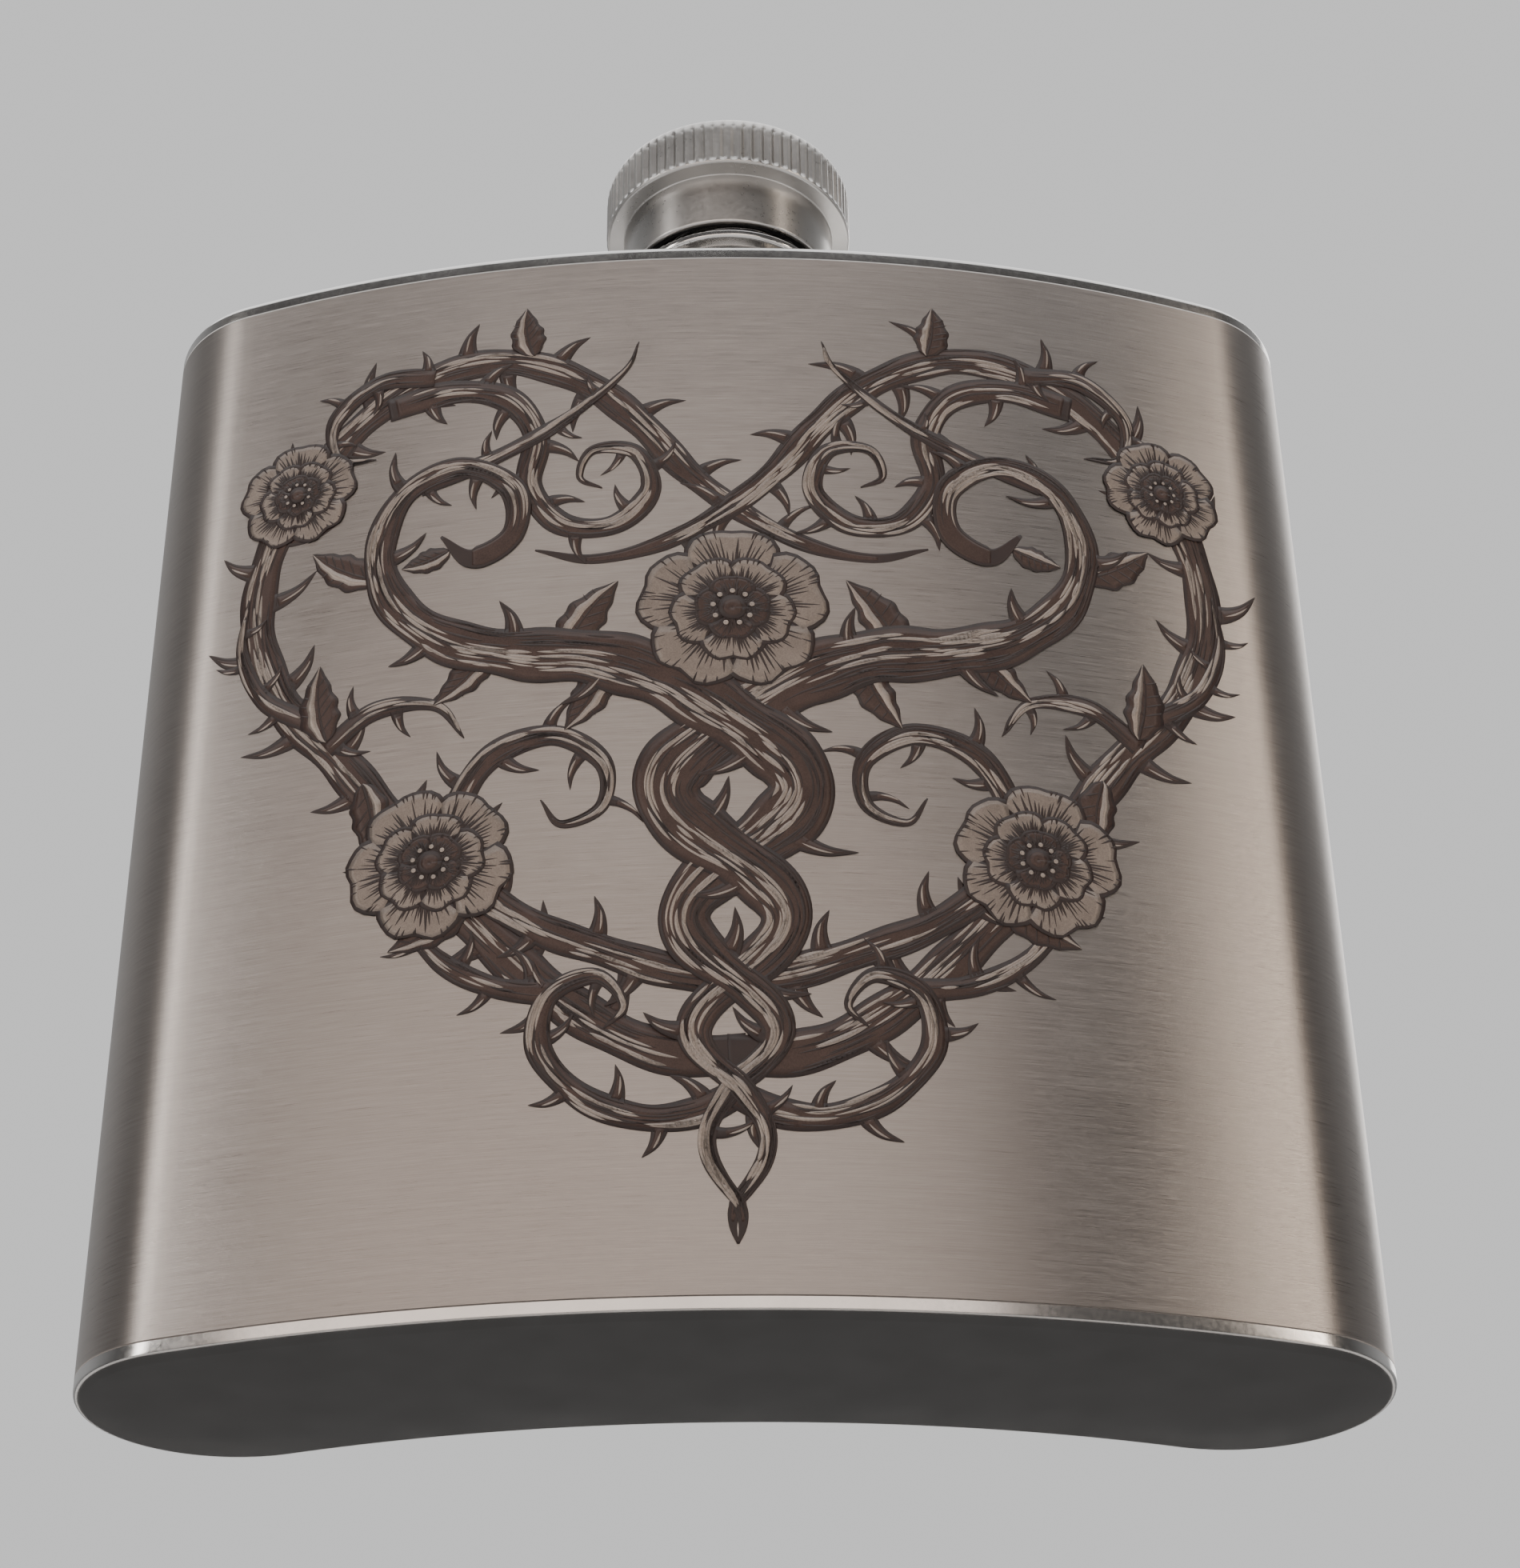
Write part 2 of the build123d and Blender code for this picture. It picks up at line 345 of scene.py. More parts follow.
def maths(tree, operation, first, second):
    """One Math node on sockets or numbers."""
    made = node(tree, "ShaderNodeMath", operation=operation)
    for index, value in enumerate((first, second)):
        if isinstance(value, bpy.types.NodeSocket):
            tree.links.new(value, made.inputs[index])
        else:
            made.inputs[index].default_value = value
    return made.outputs[0]


def bump(tree, shader, height, distance, strength):
    """Drive the shader's normal from a height socket."""
    made = node(tree, "ShaderNodeBump", Distance=distance, Strength=strength)
    tree.links.new(height, made.inputs["Height"])
    tree.links.new(made.outputs["Normal"], shader.inputs["Normal"])


def brushed_steel(name, dark, light, roughness, lines, anisotropy):
    """Steel with brushing along the U direction, cloudy tone and a few deeper lines."""
    material, tree, shader = new_material(name)
    fine = stretched_noise(tree, (lines * 0.012, lines, 1), 3, roughness=0.6)
    broad = stretched_noise(tree, (lines * 0.003, lines * 0.16, 1), 3)
    cloud = stretched_noise(tree, (3.1, 2.3, 1), 3)
    tone = maths(tree, "ADD", remap(tree, fine, 0, 0.5), remap(tree, broad, 0, 0.2))
    tone = maths(tree, "ADD", tone, remap(tree, cloud, 0, 0.25))
    colour = mix_colour(tree, tone, dark, light)
    tree.links.new(colour, shader.inputs["Base Color"])
    rough = maths(tree, "ADD", remap(tree, broad, -0.01, 0.02), remap(tree, cloud, -0.02, 0.03))
    rough = maths(tree, "ADD", rough, remap(tree, fine, roughness - 0.04, roughness + 0.05))
    tree.links.new(rough, shader.inputs["Roughness"])
    shader.inputs["Metallic"].default_value = 1.0
    shader.inputs["Anisotropic"].default_value = anisotropy
    shader.inputs["Anisotropic Rotation"].default_value = 0.25
    tangent = node(tree, "ShaderNodeTangent", direction_type="UV_MAP", uv_map="UVMap")
    tree.links.new(tangent.outputs["Tangent"], shader.inputs["Tangent"])
    height = maths(tree, "ADD", fine, maths(tree, "MULTIPLY", broad, 0.3))
    bump(tree, shader, height, 0.00002, 0.4)
    return material


def polished_steel(name, dark, light, roughness):
    """Bright steel with faint smears, a fine grain and a little tone change."""
    material, tree, shader = new_material(name)
    smear = stretched_noise(tree, (180,) * 3, 3, "Object")
    grain = stretched_noise(tree, (3000,) * 3, 2, "Object")
    colour = mix_colour(tree, remap(tree, smear, 0, 1), dark, light)
    tree.links.new(colour, shader.inputs["Base Color"])
    rough = maths(tree, "ADD", remap(tree, smear, 0, 0.03), remap(tree, grain, 0, 0.05))
    tree.links.new(maths(tree, "ADD", rough, roughness), shader.inputs["Roughness"])
    shader.inputs["Metallic"].default_value = 1.0
    bump(tree, shader, grain, 0.00001, 0.12)
    return material


def plain_surface(name, dark, light, roughness):
    """Moulded plastic or rubber with a fine grain and uneven tone."""
    material, tree, shader = new_material(name)
    grain = stretched_noise(tree, (2500,) * 3, 3, "Object")
    cloud = stretched_noise(tree, (2500 / 12,) * 3, 2, "Object")
    tree.links.new(
        mix_colour(tree, remap(tree, cloud, 0, 1), dark, light), shader.inputs["Base Color"]
    )
    tree.links.new(
        remap(tree, grain, roughness - 0.05, roughness + 0.08), shader.inputs["Roughness"]
    )
    bump(tree, shader, grain, 0.00002, 0.4)
    return material


STEEL_BODY = brushed_steel(
    "steel_body_brushed", (0.27, 0.245, 0.23), (0.46, 0.422, 0.398), 0.31, 2600, 0.65
)
STEEL_RIM = polished_steel("steel_rim_polished", (0.57, 0.56, 0.55), (0.65, 0.64, 0.63), 0.14)
STEEL_FITTING = polished_steel("steel_fitting", (0.55, 0.54, 0.53), (0.7, 0.69, 0.68), 0.12)
STEEL_NECK = polished_steel("steel_neck", (0.5, 0.49, 0.48), (0.64, 0.63, 0.62), 0.18)
STEEL_LEVER = polished_steel("steel_lever", (0.46, 0.45, 0.44), (0.6, 0.59, 0.57), 0.26)
STEEL_CAP = polished_steel("steel_cap", (0.42, 0.41, 0.40), (0.58, 0.565, 0.55), 0.26)
PLASTIC_WASHER = plain_surface("plastic_washer", (0.62, 0.61, 0.58), (0.74, 0.73, 0.7), 0.45)
PLASTIC_LINER = plain_surface("plastic_liner", (0.018, 0.018, 0.018), (0.04, 0.04, 0.04), 0.42)
RUBBER_GASKET = plain_surface("rubber_gasket", (0.55, 0.54, 0.5), (0.66, 0.65, 0.61), 0.55)


def etched(name, dark, light, roughness, metallic):
    """Printed or etched tone with a fine uneven grain."""
    material, tree, shader = new_material(name)
    grain = stretched_noise(tree, (9000,) * 3, 2, "Object")
    cloud = stretched_noise(tree, (420,) * 3, 3, "Object")
    tone = maths(tree, "ADD", remap(tree, grain, 0, 0.6), remap(tree, cloud, 0, 0.4))
    tree.links.new(mix_colour(tree, tone, dark, light), shader.inputs["Base Color"])
    tree.links.new(
        remap(tree, grain, roughness - 0.06, roughness + 0.08), shader.inputs["Roughness"]
    )
    shader.inputs["Metallic"].default_value = metallic
    bump(tree, shader, grain, 0.000008, 0.3)
    return material


ORNAMENT = {
    "ink": etched("etched_ink", (0.014, 0.007, 0.006), (0.032, 0.016, 0.014), 0.5, 0.0),
    "mid": etched("etched_mid", (0.034, 0.018, 0.015), (0.078, 0.047, 0.038), 0.46, 0.3),
    "line": etched("etched_line", (0.014, 0.007, 0.006), (0.034, 0.017, 0.014), 0.5, 0.0),
    "light": etched("etched_light", (0.24, 0.2, 0.175), (0.40, 0.34, 0.30), 0.42, 0.7),
    "petal": etched("etched_petal", (0.17, 0.138, 0.118), (0.30, 0.252, 0.22), 0.45, 0.5),
}


# ---------------------------------------------------------------- flask pieces


def rim_levels(turned):
    """Rim and inside of an end plate's section as (inset, z) levels; turned flips them over."""
    flange_top = PLATE_RIM + FLANGE_HEIGHT
    inner = SHEET + FLANGE_SHEET
    levels = [(SHEET, flange_top), (SHEET, PLATE_RIM), (SEAM_DEPTH, PLATE_RIM)]
    levels.append((0, PLATE_RIM - SEAM_DEPTH))
    for step in range(RIM_STEPS + 1):
        angle = math.pi / 2 * (1 - step / RIM_STEPS)
        inset = PLATE_ROUND * (1 - math.sin(angle))
        levels.append((inset, PLATE_ROUND * (1 - math.cos(angle))))
    inside = [(inner, PLATE_SHEET), (inner, flange_top)]
    if turned:
        levels = [(inset, BODY_HEIGHT - z) for inset, z in levels]
        inside = [(inset, BODY_HEIGHT - z) for inset, z in inside]
    return levels, inside


def build_body():
    """Brushed body sheet and the two polished end plates."""
    low = PLATE_RIM
    high = BODY_HEIGHT - PLATE_RIM
    soft = SEAM_DEPTH
    wall = high - low - 2 * soft
    rows = [(soft, low), (0, low + soft)]
    rows += [(0, low + soft + wall * i / BODY_ROWS) for i in range(1, BODY_ROWS)]
    rows += [(0, high - soft), (soft, high), (SHEET, high), (SHEET, low)]
    sheet = body_loft("body_sheet", rows, "flask", STEEL_BODY)
    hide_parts("body_shell")
    levels, inside = rim_levels(False)
    middle = ("circle", BASE_RING)
    ring = [(*middle, PLATE_SHEET), *inside, *levels, (*middle, 0)]
    base = body_loft("base_pressing", ring, "flask", STEEL_RIM, False)
    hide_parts("base_plate")
    levels, inside = rim_levels(True)
    hole = NECK_OUTER
    ring = levels + [("circle", hole, BODY_HEIGHT), ("circle", hole, BODY_HEIGHT - PLATE_SHEET)]
    top = body_loft("top_pressing", ring + inside, "flask", STEEL_RIM)
    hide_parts("top_plate")


def split_long(profile, limit, wanted):
    """Add points on the profile's segments where wanted(a, b) holds, each under the limit."""
    line = []
    for index, start in enumerate(profile):
        end = profile[(index + 1) % len(profile)]
        line.append(start)
        if not wanted(start, end):
            continue
        count = math.ceil(math.dist(start, end) / limit)
        for step in range(1, count):
            line.append(tuple(a + (b - a) * step / count for a, b in zip(start, end)))
    return line


def smooth(value):
    """Ease a number, held between 0 and 1, so that it starts and ends gently."""
    value = min(max(value, 0.0), 1.0)
    return value * value * (3 - 2 * value)


def neck_shape(angle, r, z):
    """Radius of the neck wall with its rolled thread."""
    if abs(r - NECK_OUTER) > SAME or z < SHOULDER_TOP:
        return r
    height = 0.0
    for lap in (0, 1):
        turns = angle / TAU + lap
        if turns > THREAD_TURNS:
            continue
        away = abs(z - THREAD_START - THREAD_PITCH * turns)
        ridge = smooth((THREAD_FOOT / 2 - away) / (THREAD_FOOT / 2 - THREAD_TIP / 2))
        ends = smooth(turns / THREAD_RUNOUT) * smooth((THREAD_TURNS - turns) / THREAD_RUNOUT)
        height = max(height, ridge * ends)
    return r + (THREAD_CREST - NECK_OUTER) * height


def build_neck():
    """Neck tube with foot, shoulder and thread."""
    foot_top = BODY_HEIGHT - PLATE_SHEET
    foot_bottom = foot_top - NECK_FOOT_SHEET
    tail = foot_bottom - NECK_TAIL
    profile = round_profile(
        [
            (NECK_BORE, tail, 0.1),
            (NECK_OUTER, tail, 0.1),
            (NECK_OUTER, foot_bottom, 0),
            (NECK_FOOT, foot_bottom, 0.1),
            (NECK_FOOT, foot_top, 0),
            (NECK_OUTER, foot_top, 0),
            (NECK_OUTER, BODY_HEIGHT, 0),
            (SHOULDER_RADIUS, BODY_HEIGHT, 0),
            (SHOULDER_RADIUS, SHOULDER_TOP, 0.25),
            (NECK_OUTER, SHOULDER_TOP, 0.08),
            (NECK_OUTER, NECK_TOP, 0.25),
            (NECK_BORE, NECK_TOP, 0.25),
        ]
    )

    def threaded(start, end):
        on_wall = all(abs(r - NECK_OUTER) < SAME for r, _ in (start, end))
        return on_wall and min(start[1], end[1]) > SHOULDER_TOP

    profile = split_long(profile, THREAD_ROW, threaded)
    neck = lathe(
        "neck_tube", profile, NECK_COLUMNS, "flask", STEEL_NECK, neck_shape
    )
    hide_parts("neck")


def build_cap():
    """Pressed cap shell with its ribbed head."""
    random.seed(7)
    wear = [random.uniform(*RIB_WEAR) for _ in range(RIBS)]
    skirt_inner = SKIRT_RADIUS - SHELL_SHEET
    head_inner = HEAD_RADIUS - HEAD_WALL
    inner_floor = HEAD_BOTTOM + HEAD_WALL
    inner_roof = HEAD_TOP - SHELL_SHEET
    hole = RIVET_RADIUS + RIVET_CLEARANCE
    profile = round_profile(
        [
            (skirt_inner, SKIRT_BOTTOM, 0.12),
            (SKIRT_RADIUS, SKIRT_BOTTOM, 0.18),
            (SKIRT_RADIUS, HEAD_BOTTOM, 0.12),
            (HEAD_RADIUS, HEAD_BOTTOM, 0.3),
            (HEAD_RADIUS, HEAD_TOP, HEAD_ROUND),
            (hole, HEAD_TOP, 0.06),
            (hole, inner_roof, 0),
            (head_inner, inner_roof, HEAD_ROUND - SHELL_SHEET),
            (head_inner, inner_floor, 0.15),
            (skirt_inner, inner_floor, 0.1),
        ],
        steps=8,
    )

    def on_head(start, end):
        return min(start[0], end[0]) > HEAD_RADIUS - 0.05

    def ribbed(angle, r, z):
        if r < HEAD_RADIUS - RIB_REACH or not RIB_LOW < z < RIB_HIGH:
            return r
        turn = angle / TAU * RIBS
        groove = (0.5 + 0.5 * math.cos(TAU * turn)) ** RIB_HOLLOW
        fade = smooth((z - RIB_LOW) / RIB_LOW_FADE) * smooth((RIB_HIGH - z) / RIB_HIGH_FADE)
        return r - RIB_DEPTH * groove * fade * wear[int(turn + 0.5) % RIBS]

    profile = split_long(profile, RIB_ROW, on_head)
    columns = RIBS * RIB_COLUMNS
    cap = lathe("cap_pressing", profile, columns, "cap", STEEL_CAP, ribbed)
    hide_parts("cap_shell")


def soften(name, material, width):
    """Give a carried-over CAD node its finish and, where a width is given, rounded edges."""
    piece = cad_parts[name]
    piece.data.materials.clear()
    piece.data.materials.append(material)
    if not width:
        return
    weld = piece.modifiers.new("weld", "WELD")
    weld.merge_threshold = 0.000002
    bevel = piece.modifiers.new("bevel", "BEVEL")
    bevel.width = width * MM
    bevel.segments = 3
    bevel.limit_method = "ANGLE"
    bevel.angle_limit = math.radians(40)
    bevel.harden_normals = True


build_body()
build_neck()
build_cap()
for name, material, width in (
    ("collar_ring", STEEL_FITTING, 0.0),
    ("hinge_pin", STEEL_FITTING, 0.0),
    ("lever", STEEL_LEVER, 0.12),
    ("rivet", STEEL_FITTING, 0.0),
    ("lever_washer", PLASTIC_WASHER, 0.05),
    ("backing_washer", STEEL_LEVER, 0.05),
    ("cap_liner", PLASTIC_LINER, 0.0),
    ("cap_gasket", RUBBER_GASKET, 0.08),
):
    soften(name, material, width)

# ------------------------------------------------------------- printed ornament
# A generic heart-shaped briar: two stems twine up from the tip, part like a lyre and scroll
# inwards, in a wreath of thorny vines, leaves and open roses. It is drawn flat as (across, up)
# in millimetres and wrapped onto the front of the body in thin films, one for each tone.

LEVEL = 0.012  # height of one level, so that crossing stems lie apart
# Height of each tone's film above its level
TONES = {"ink": 0.0, "mid": 0.003, "petal": 0.003, "line": 0.006, "light": 0.009}
FILM = 0.002  # thickness of a film
FIRST_FILM = 0.008  # height of the lowest film above the steel
CELL = 0.7  # widest flat cell across a curved film
STEP = 0.35  # spacing of the points along a line
BARK_EDGE = 0.55  # ink left showing beside the half-tone of a stem, both sides together
PETAL_EDGE = 0.26  # ink left showing round a petal
HATCHES = 18  # shade lines across one petal
THORNS_END = 0.94  # no thorns past this fraction of a stem
films = {tone: ([], []) for tone in TONES}
chance = random.Random(11)  # every uneven stroke of the drawing draws from this in turn


def on_front(across, up, height):
    """Point on the front, or just round an end, at a height above the body's surface."""
    angle = across / FRONT_RADIUS
    radius = FRONT_RADIUS + height
    past = abs(across) - HALF_TURN * FRONT_RADIUS
    if past <= 0:
        return radius * math.sin(angle), BODY_CURVE - radius * math.cos(angle), up
    angle = HALF_TURN + past / (BODY_THICKNESS / 2)
    radius = BODY_THICKNESS / 2 + height
    x = BODY_CURVE * math.sin(HALF_TURN) + radius * math.sin(angle)
    y = BODY_CURVE * (1 - math.cos(HALF_TURN)) - radius * math.cos(angle)
    return math.copysign(x, across), y, up


def add_patch(tone, grid, level):
    """Add a grid of (across, up) rows to a film; level is a number or one per row."""
    (a, b), (c, d), (e, f) = grid[0][0], grid[0][1], grid[1][0]
    if (c - a) * (f - b) - (d - b) * (e - a) < 0:
        grid = [row[::-1] for row in grid]
    points, faces = films[tone]
    first = len(points)
    wide = len(grid[0])
    for row, line in enumerate(grid):
        here = level[row] if isinstance(level, list) else level
        height = FIRST_FILM + here * LEVEL + TONES[tone]
        points.extend(on_front(a, u, height) for a, u in line)
    for row in range(len(grid) - 1):
        for column in range(wide - 1):
            corner = first + row * wide + column
            faces.append((corner, corner + 1, corner + wide + 1, corner + wide))


def curve(knots, spacing=STEP):
    """Smooth line through the knots, as closely spaced points."""
    ends = [
        tuple(2 * a - b for a, b in zip(knots[0], knots[1])),
        tuple(2 * a - b for a, b in zip(knots[-1], knots[-2])),
    ]
    spine = [ends[0], *knots, ends[1]]
    line = []
    for p0, p1, p2, p3 in zip(spine, spine[1:], spine[2:], spine[3:]):
        count = max(2, round(math.dist(p1, p2) / spacing))
        for step in range(count):
            t = step / count
            line.append(
                tuple(
                    b
                    + 0.5 * t * (c - a)
                    + t * t * (a - 2.5 * b + 2 * c - 0.5 * d)
                    + t * t * t * (1.5 * (b - c) + 0.5 * (d - a))
                    for a, b, c, d in zip(p0, p1, p2, p3)
                )
            )
    line.append(tuple(knots[-1]))
    return line


def side_vectors(line):
    """Unit normals, to the left of travel, along a line of points."""
    normals = []
    for index in range(len(line)):
        back = line[max(index - 1, 0)]
        ahead = line[min(index + 1, len(line) - 1)]
        run = math.dist(back, ahead) or 1
        normals.append(((back[1] - ahead[1]) / run, (ahead[0] - back[0]) / run))
    return normals


def steady(value):
    """Function along a line that gives the same value everywhere."""
    return lambda t: value


def ribbon(tone, line, width, level, shift=steady(0.0)):
    """Film along a line: width, shift and level are functions of 0..1; level may be a number."""
    normals = side_vectors(line)
    last = len(line) - 1
    widest = max(width(i / last) for i in range(last + 1))
    cells = max(1, math.ceil(widest / CELL))
    grid = []
    levels = []
    for index, (point, normal) in enumerate(zip(line, normals)):
        t = index / last
        half = width(t) / 2
        middle = shift(t)
        row = []
        for cell in range(cells + 1):
            reach = middle - half + 2 * half * cell / cells
            row.append((point[0] + normal[0] * reach, point[1] + normal[1] * reach))
        grid.append(row)
        levels.append(level(t) if callable(level) else level)
    add_patch(tone, grid, levels)


def part_of(line, start, end):
    """The stretch of a line between two fractions of its length."""
    last = len(line) - 1
    low = int(start * last)
    high = max(low + 3, int(end * last))
    return line[low : high + 1]


def swell(width):
    """Width that tapers to almost nothing at both ends."""
    return lambda t: width * math.sin(math.pi * min(max(t, 0.0), 1.0)) ** 0.7 + 0.01


def stroke(tone, line, start, end, width, level, shift):
    """Tapered stroke along part of a stem; level and shift are functions on the whole stem."""
    span = end - start
    ribbon(
        tone,
        part_of(line, start, end),
        swell(width),
        lambda t: level(start + span * t),
        lambda t: shift(start + span * t),
    )


def thorn(line, place, side, length, base, level, lean):
    """Curved thorn standing on a stem at a fraction of its length."""
    index = min(int(place * (len(line) - 1)), len(line) - 2)
    point = line[index]
    normal = side_vectors(line)[index]
    along = (normal[1], -normal[0])
    reach = [
        (0.0, 0.0),
        (0.35 * length, 0.04 * length * lean),
        (0.7 * length, 0.3 * length * lean),
        (length, 0.8 * length * lean),
    ]
    knots = [
        (
            point[0] + side * normal[0] * out + along[0] * on,
            point[1] + side * normal[1] * out + along[1] * on,
        )
        for out, on in reach
    ]
    spike = curve(knots, 0.25)
    height = level(place)
    ribbon("ink", spike, lambda t: base * (1 - t) ** 0.85 + 0.02, height)
    inner = part_of(spike, 0.3, 0.85)
    ribbon("mid", inner, lambda t: base * 0.42 * (1 - t) ** 0.9 + 0.02, height)
    ribbon("light", part_of(spike, 0.35, 0.75), swell(0.16), height, lambda t: 0.12 * side)


def stem(line, width, level, thorns, spike, first=0.08):
    """Woody stem: ink outline, half-tone bark, shade lines, lights and thorns."""
    length = len(line) * STEP
    phase = chance.uniform(0, TAU)

    def knotty(t):
        return width(t) * (1 + 0.07 * math.sin(phase + t * length * 0.9))

    for number in range(thorns):
        place = first + (THORNS_END - first) * (number + chance.uniform(-0.2, 0.2)) / thorns
        side = 1 if number % 2 else -1
        size = spike * chance.uniform(0.8, 1.15)
        base = max(1.0, min(2.2, knotty(place) * 0.75))
        reach = size + knotty(place) / 2
        thorn(line, place, side, reach, base, level, chance.uniform(0.35, 0.75))
    ribbon("ink", line, knotty, level)
    ribbon(
        "mid",
        part_of(line, 0.02, 0.97),
        lambda t: max(knotty(0.02 + 0.95 * t) - BARK_EDGE, 0.08),
        lambda t: level(0.02 + 0.95 * t),
    )
    for _ in range(int(length * (0.6 + 0.45 * width(0.5)))):
        start = chance.uniform(0.02, 0.9)
        run = chance.uniform(2.0, 6.0) / length
        end = min(start + run, 0.98)
        drift = chance.uniform(-0.06, 0.06)
        where = chance.uniform(-0.44, 0.34)
        thick = chance.uniform(0.1, 0.26)

        def wavy(t):
            return knotty(t) * (where + drift * math.sin(TAU * 3 * t))

        stroke("line", line, start, end, thick, level, wavy)
    for _ in range(int(length * (0.3 + 0.3 * width(0.5)))):
        start = chance.uniform(0.03, 0.9)
        run = chance.uniform(1.6, 5.0) / length
        end = min(start + run, 0.97)
        where = chance.uniform(-0.12, 0.38)
        thick = chance.uniform(0.14, 0.34)
        stroke("light", line, start, end, thick, level, lambda t: knotty(t) * where)


def taper(start, end, tip=0.25):
    """Width that eases from start to end and narrows to a point over the last stretch."""
    return lambda t: (start + (end - start) * t) * min(1.0, (1.002 - t) / tip) ** 0.6 + 0.03


def leaf(base, direction, length, width, level, bend):
    """Pointed leaf with a midrib, veins and one lit half."""
    angle = math.radians(direction)
    ahead = (math.cos(angle), math.sin(angle))
    aside = (-ahead[1], ahead[0])
    knots = [
        (
            base[0] + ahead[0] * length * t + aside[0] * bend * length * t * t,
            base[1] + ahead[1] * length * t + aside[1] * bend * length * t * t,
        )
        for t in (0, 0.33, 0.66, 1)
    ]
    line = curve(knots, 0.3)

    def blade(t):
        return width * math.sin(math.pi * t**0.75) ** 0.9 * (1 + 0.08 * math.sin(26 * t)) + 0.05

    ribbon("ink", line, blade, level)
    ribbon("mid", line, lambda t: max(blade(t) - 0.5, 0.04), level)
    ribbon("light", line, lambda t: blade(t) * 0.2 + 0.01, level, lambda t: blade(t) * 0.2)
    ribbon("line", line, lambda t: 0.22 * (1 - t) + 0.05, level)
    for t in (0.2, 0.34, 0.48, 0.62, 0.76):
        point = line[int(t * (len(line) - 1))]
        for side in (-1, 1):
            reach = blade(t) * 0.42
            end = (
                point[0] + (aside[0] * side + ahead[0] * 0.8) * reach,
                point[1] + (aside[1] * side + ahead[1] * 0.8) * reach,
            )
            ribbon("line", curve([point, end], 0.3), swell(0.16), level)


def petal(centre, direction, spread, inner, outer, level, tone):
    """One rose petal: a rounded lobe with a notched edge, hatched towards its base."""

    def edge(across):
        lobe = 1 - 0.3 * abs(across) ** 3 - 0.09 * math.exp(-((across / 0.22) ** 2))
        return inner + (outer - inner) * lobe * (1 + 0.02 * math.sin(9 * across + direction))

    def lobe_grid(margin):
        grid = []
        steps = 12
        for row in range(steps + 1):
            line = []
            for column in range(steps + 1):
                across = -1 + 2 * column / steps
                top = edge(across) - margin
                low = inner * 0.4 + margin
                reach = low + (top - low) * row / steps
                narrow = spread * (0.55 + 0.45 * row / steps) - margin / max(reach, 1)
                angle = direction + across * narrow
                line.append(
                    (
                        centre[0] + reach * math.cos(angle),
                        centre[1] + reach * math.sin(angle),
                    )
                )
            grid.append(line)
        return grid

    add_patch("ink", lobe_grid(0), level)
    add_patch(tone, lobe_grid(PETAL_EDGE), level)

    def hatch(across, start, end, width):
        knots = []
        for t in (0, 0.5, 1):
            away = start + (end - start) * t
            angle = direction + across * spread * (0.55 + 0.4 * away / outer)
            knots.append(
                (centre[0] + away * math.cos(angle), centre[1] + away * math.sin(angle))
            )
        ribbon("line", curve(knots, 0.3), lambda t: width * (1 - t) ** 0.6 + 0.02, level)

    for number in range(HATCHES + 1):
        across = -0.92 + 1.84 * (number + chance.uniform(-0.3, 0.3)) / HATCHES
        reach = edge(across) * chance.uniform(0.68, 0.93)
        hatch(across, inner * 0.5, reach, chance.uniform(0.2, 0.5))
    for number in range(HATCHES // 2):
        across = chance.uniform(-0.85, 0.85)
        rim = edge(across)
        hatch(across, rim - 0.1, rim * chance.uniform(0.82, 0.93), chance.uniform(0.1, 0.22))


def rose(centre, size, level, turn):
    """Open briar rose: three rings of petals round a dotted heart."""
    for ring, (count, inner, outer, tone) in enumerate(
        ((5, 0.3, 1.0, "petal"), (5, 0.22, 0.66, "petal"), (4, 0.12, 0.4, "mid"))
    ):
        for number in range(count):
            direction = turn + TAU * (number + 0.5 * ring) / count
            spread = math.pi / count * 1.12
            here = level + ring * 1.2 + number * 0.12
            petal(centre, direction, spread, inner * size, outer * size, here, tone)
    top = level + 4.6
    disc("ink", centre, size * 0.15, top)
    disc("mid", centre, size * 0.1, top)
    for number in range(9):
        angle = turn + TAU * number / 9
        spot = (
            centre[0] + size * 0.2 * math.cos(angle),
            centre[1] + size * 0.2 * math.sin(angle),
        )
        disc("light", spot, size * 0.028, top)


def disc(tone, centre, radius, level):
    """Small filled dot."""
    grid = [
        [
            (
                centre[0] + radius * reach * math.cos(TAU * i / 16),
                centre[1] + radius * reach * math.sin(TAU * i / 16),
            )
            for i in range(17)
        ]
        for reach in (1.0, 0.5, 0.04)
    ]
    add_patch(tone, grid, level)


# The twined column: heights where the two stems cross, and how far they part between
CROSSINGS = (5.2, 8.4, 17.3, 25.5, 35.5, 47.5)
PARTING = (0.35, 2.1, 3.0, 3.7, 5.0)
LAP_KNOTS = 6  # knots from one crossing to the next

# Above the column the right stem sweeps out and scrolls back inwards
LYRE = (
    (0, 47.5), (5.2, 51.2), (10.6, 53.4), (16.4, 54.2), (22, 56), (26.4, 60), (28, 65.4),
    (26.2, 70.6), (21.6, 72.6), (17.4, 70), (17.2, 65.6), (20.4, 63.6), (23, 66),
)
STEM_LEVEL = 5.0
STEM_LIFT = 0.75  # rise of one stem where it crosses over the other
OVER = 0.8  # rise of a vine of the right half where it crosses its mirror image

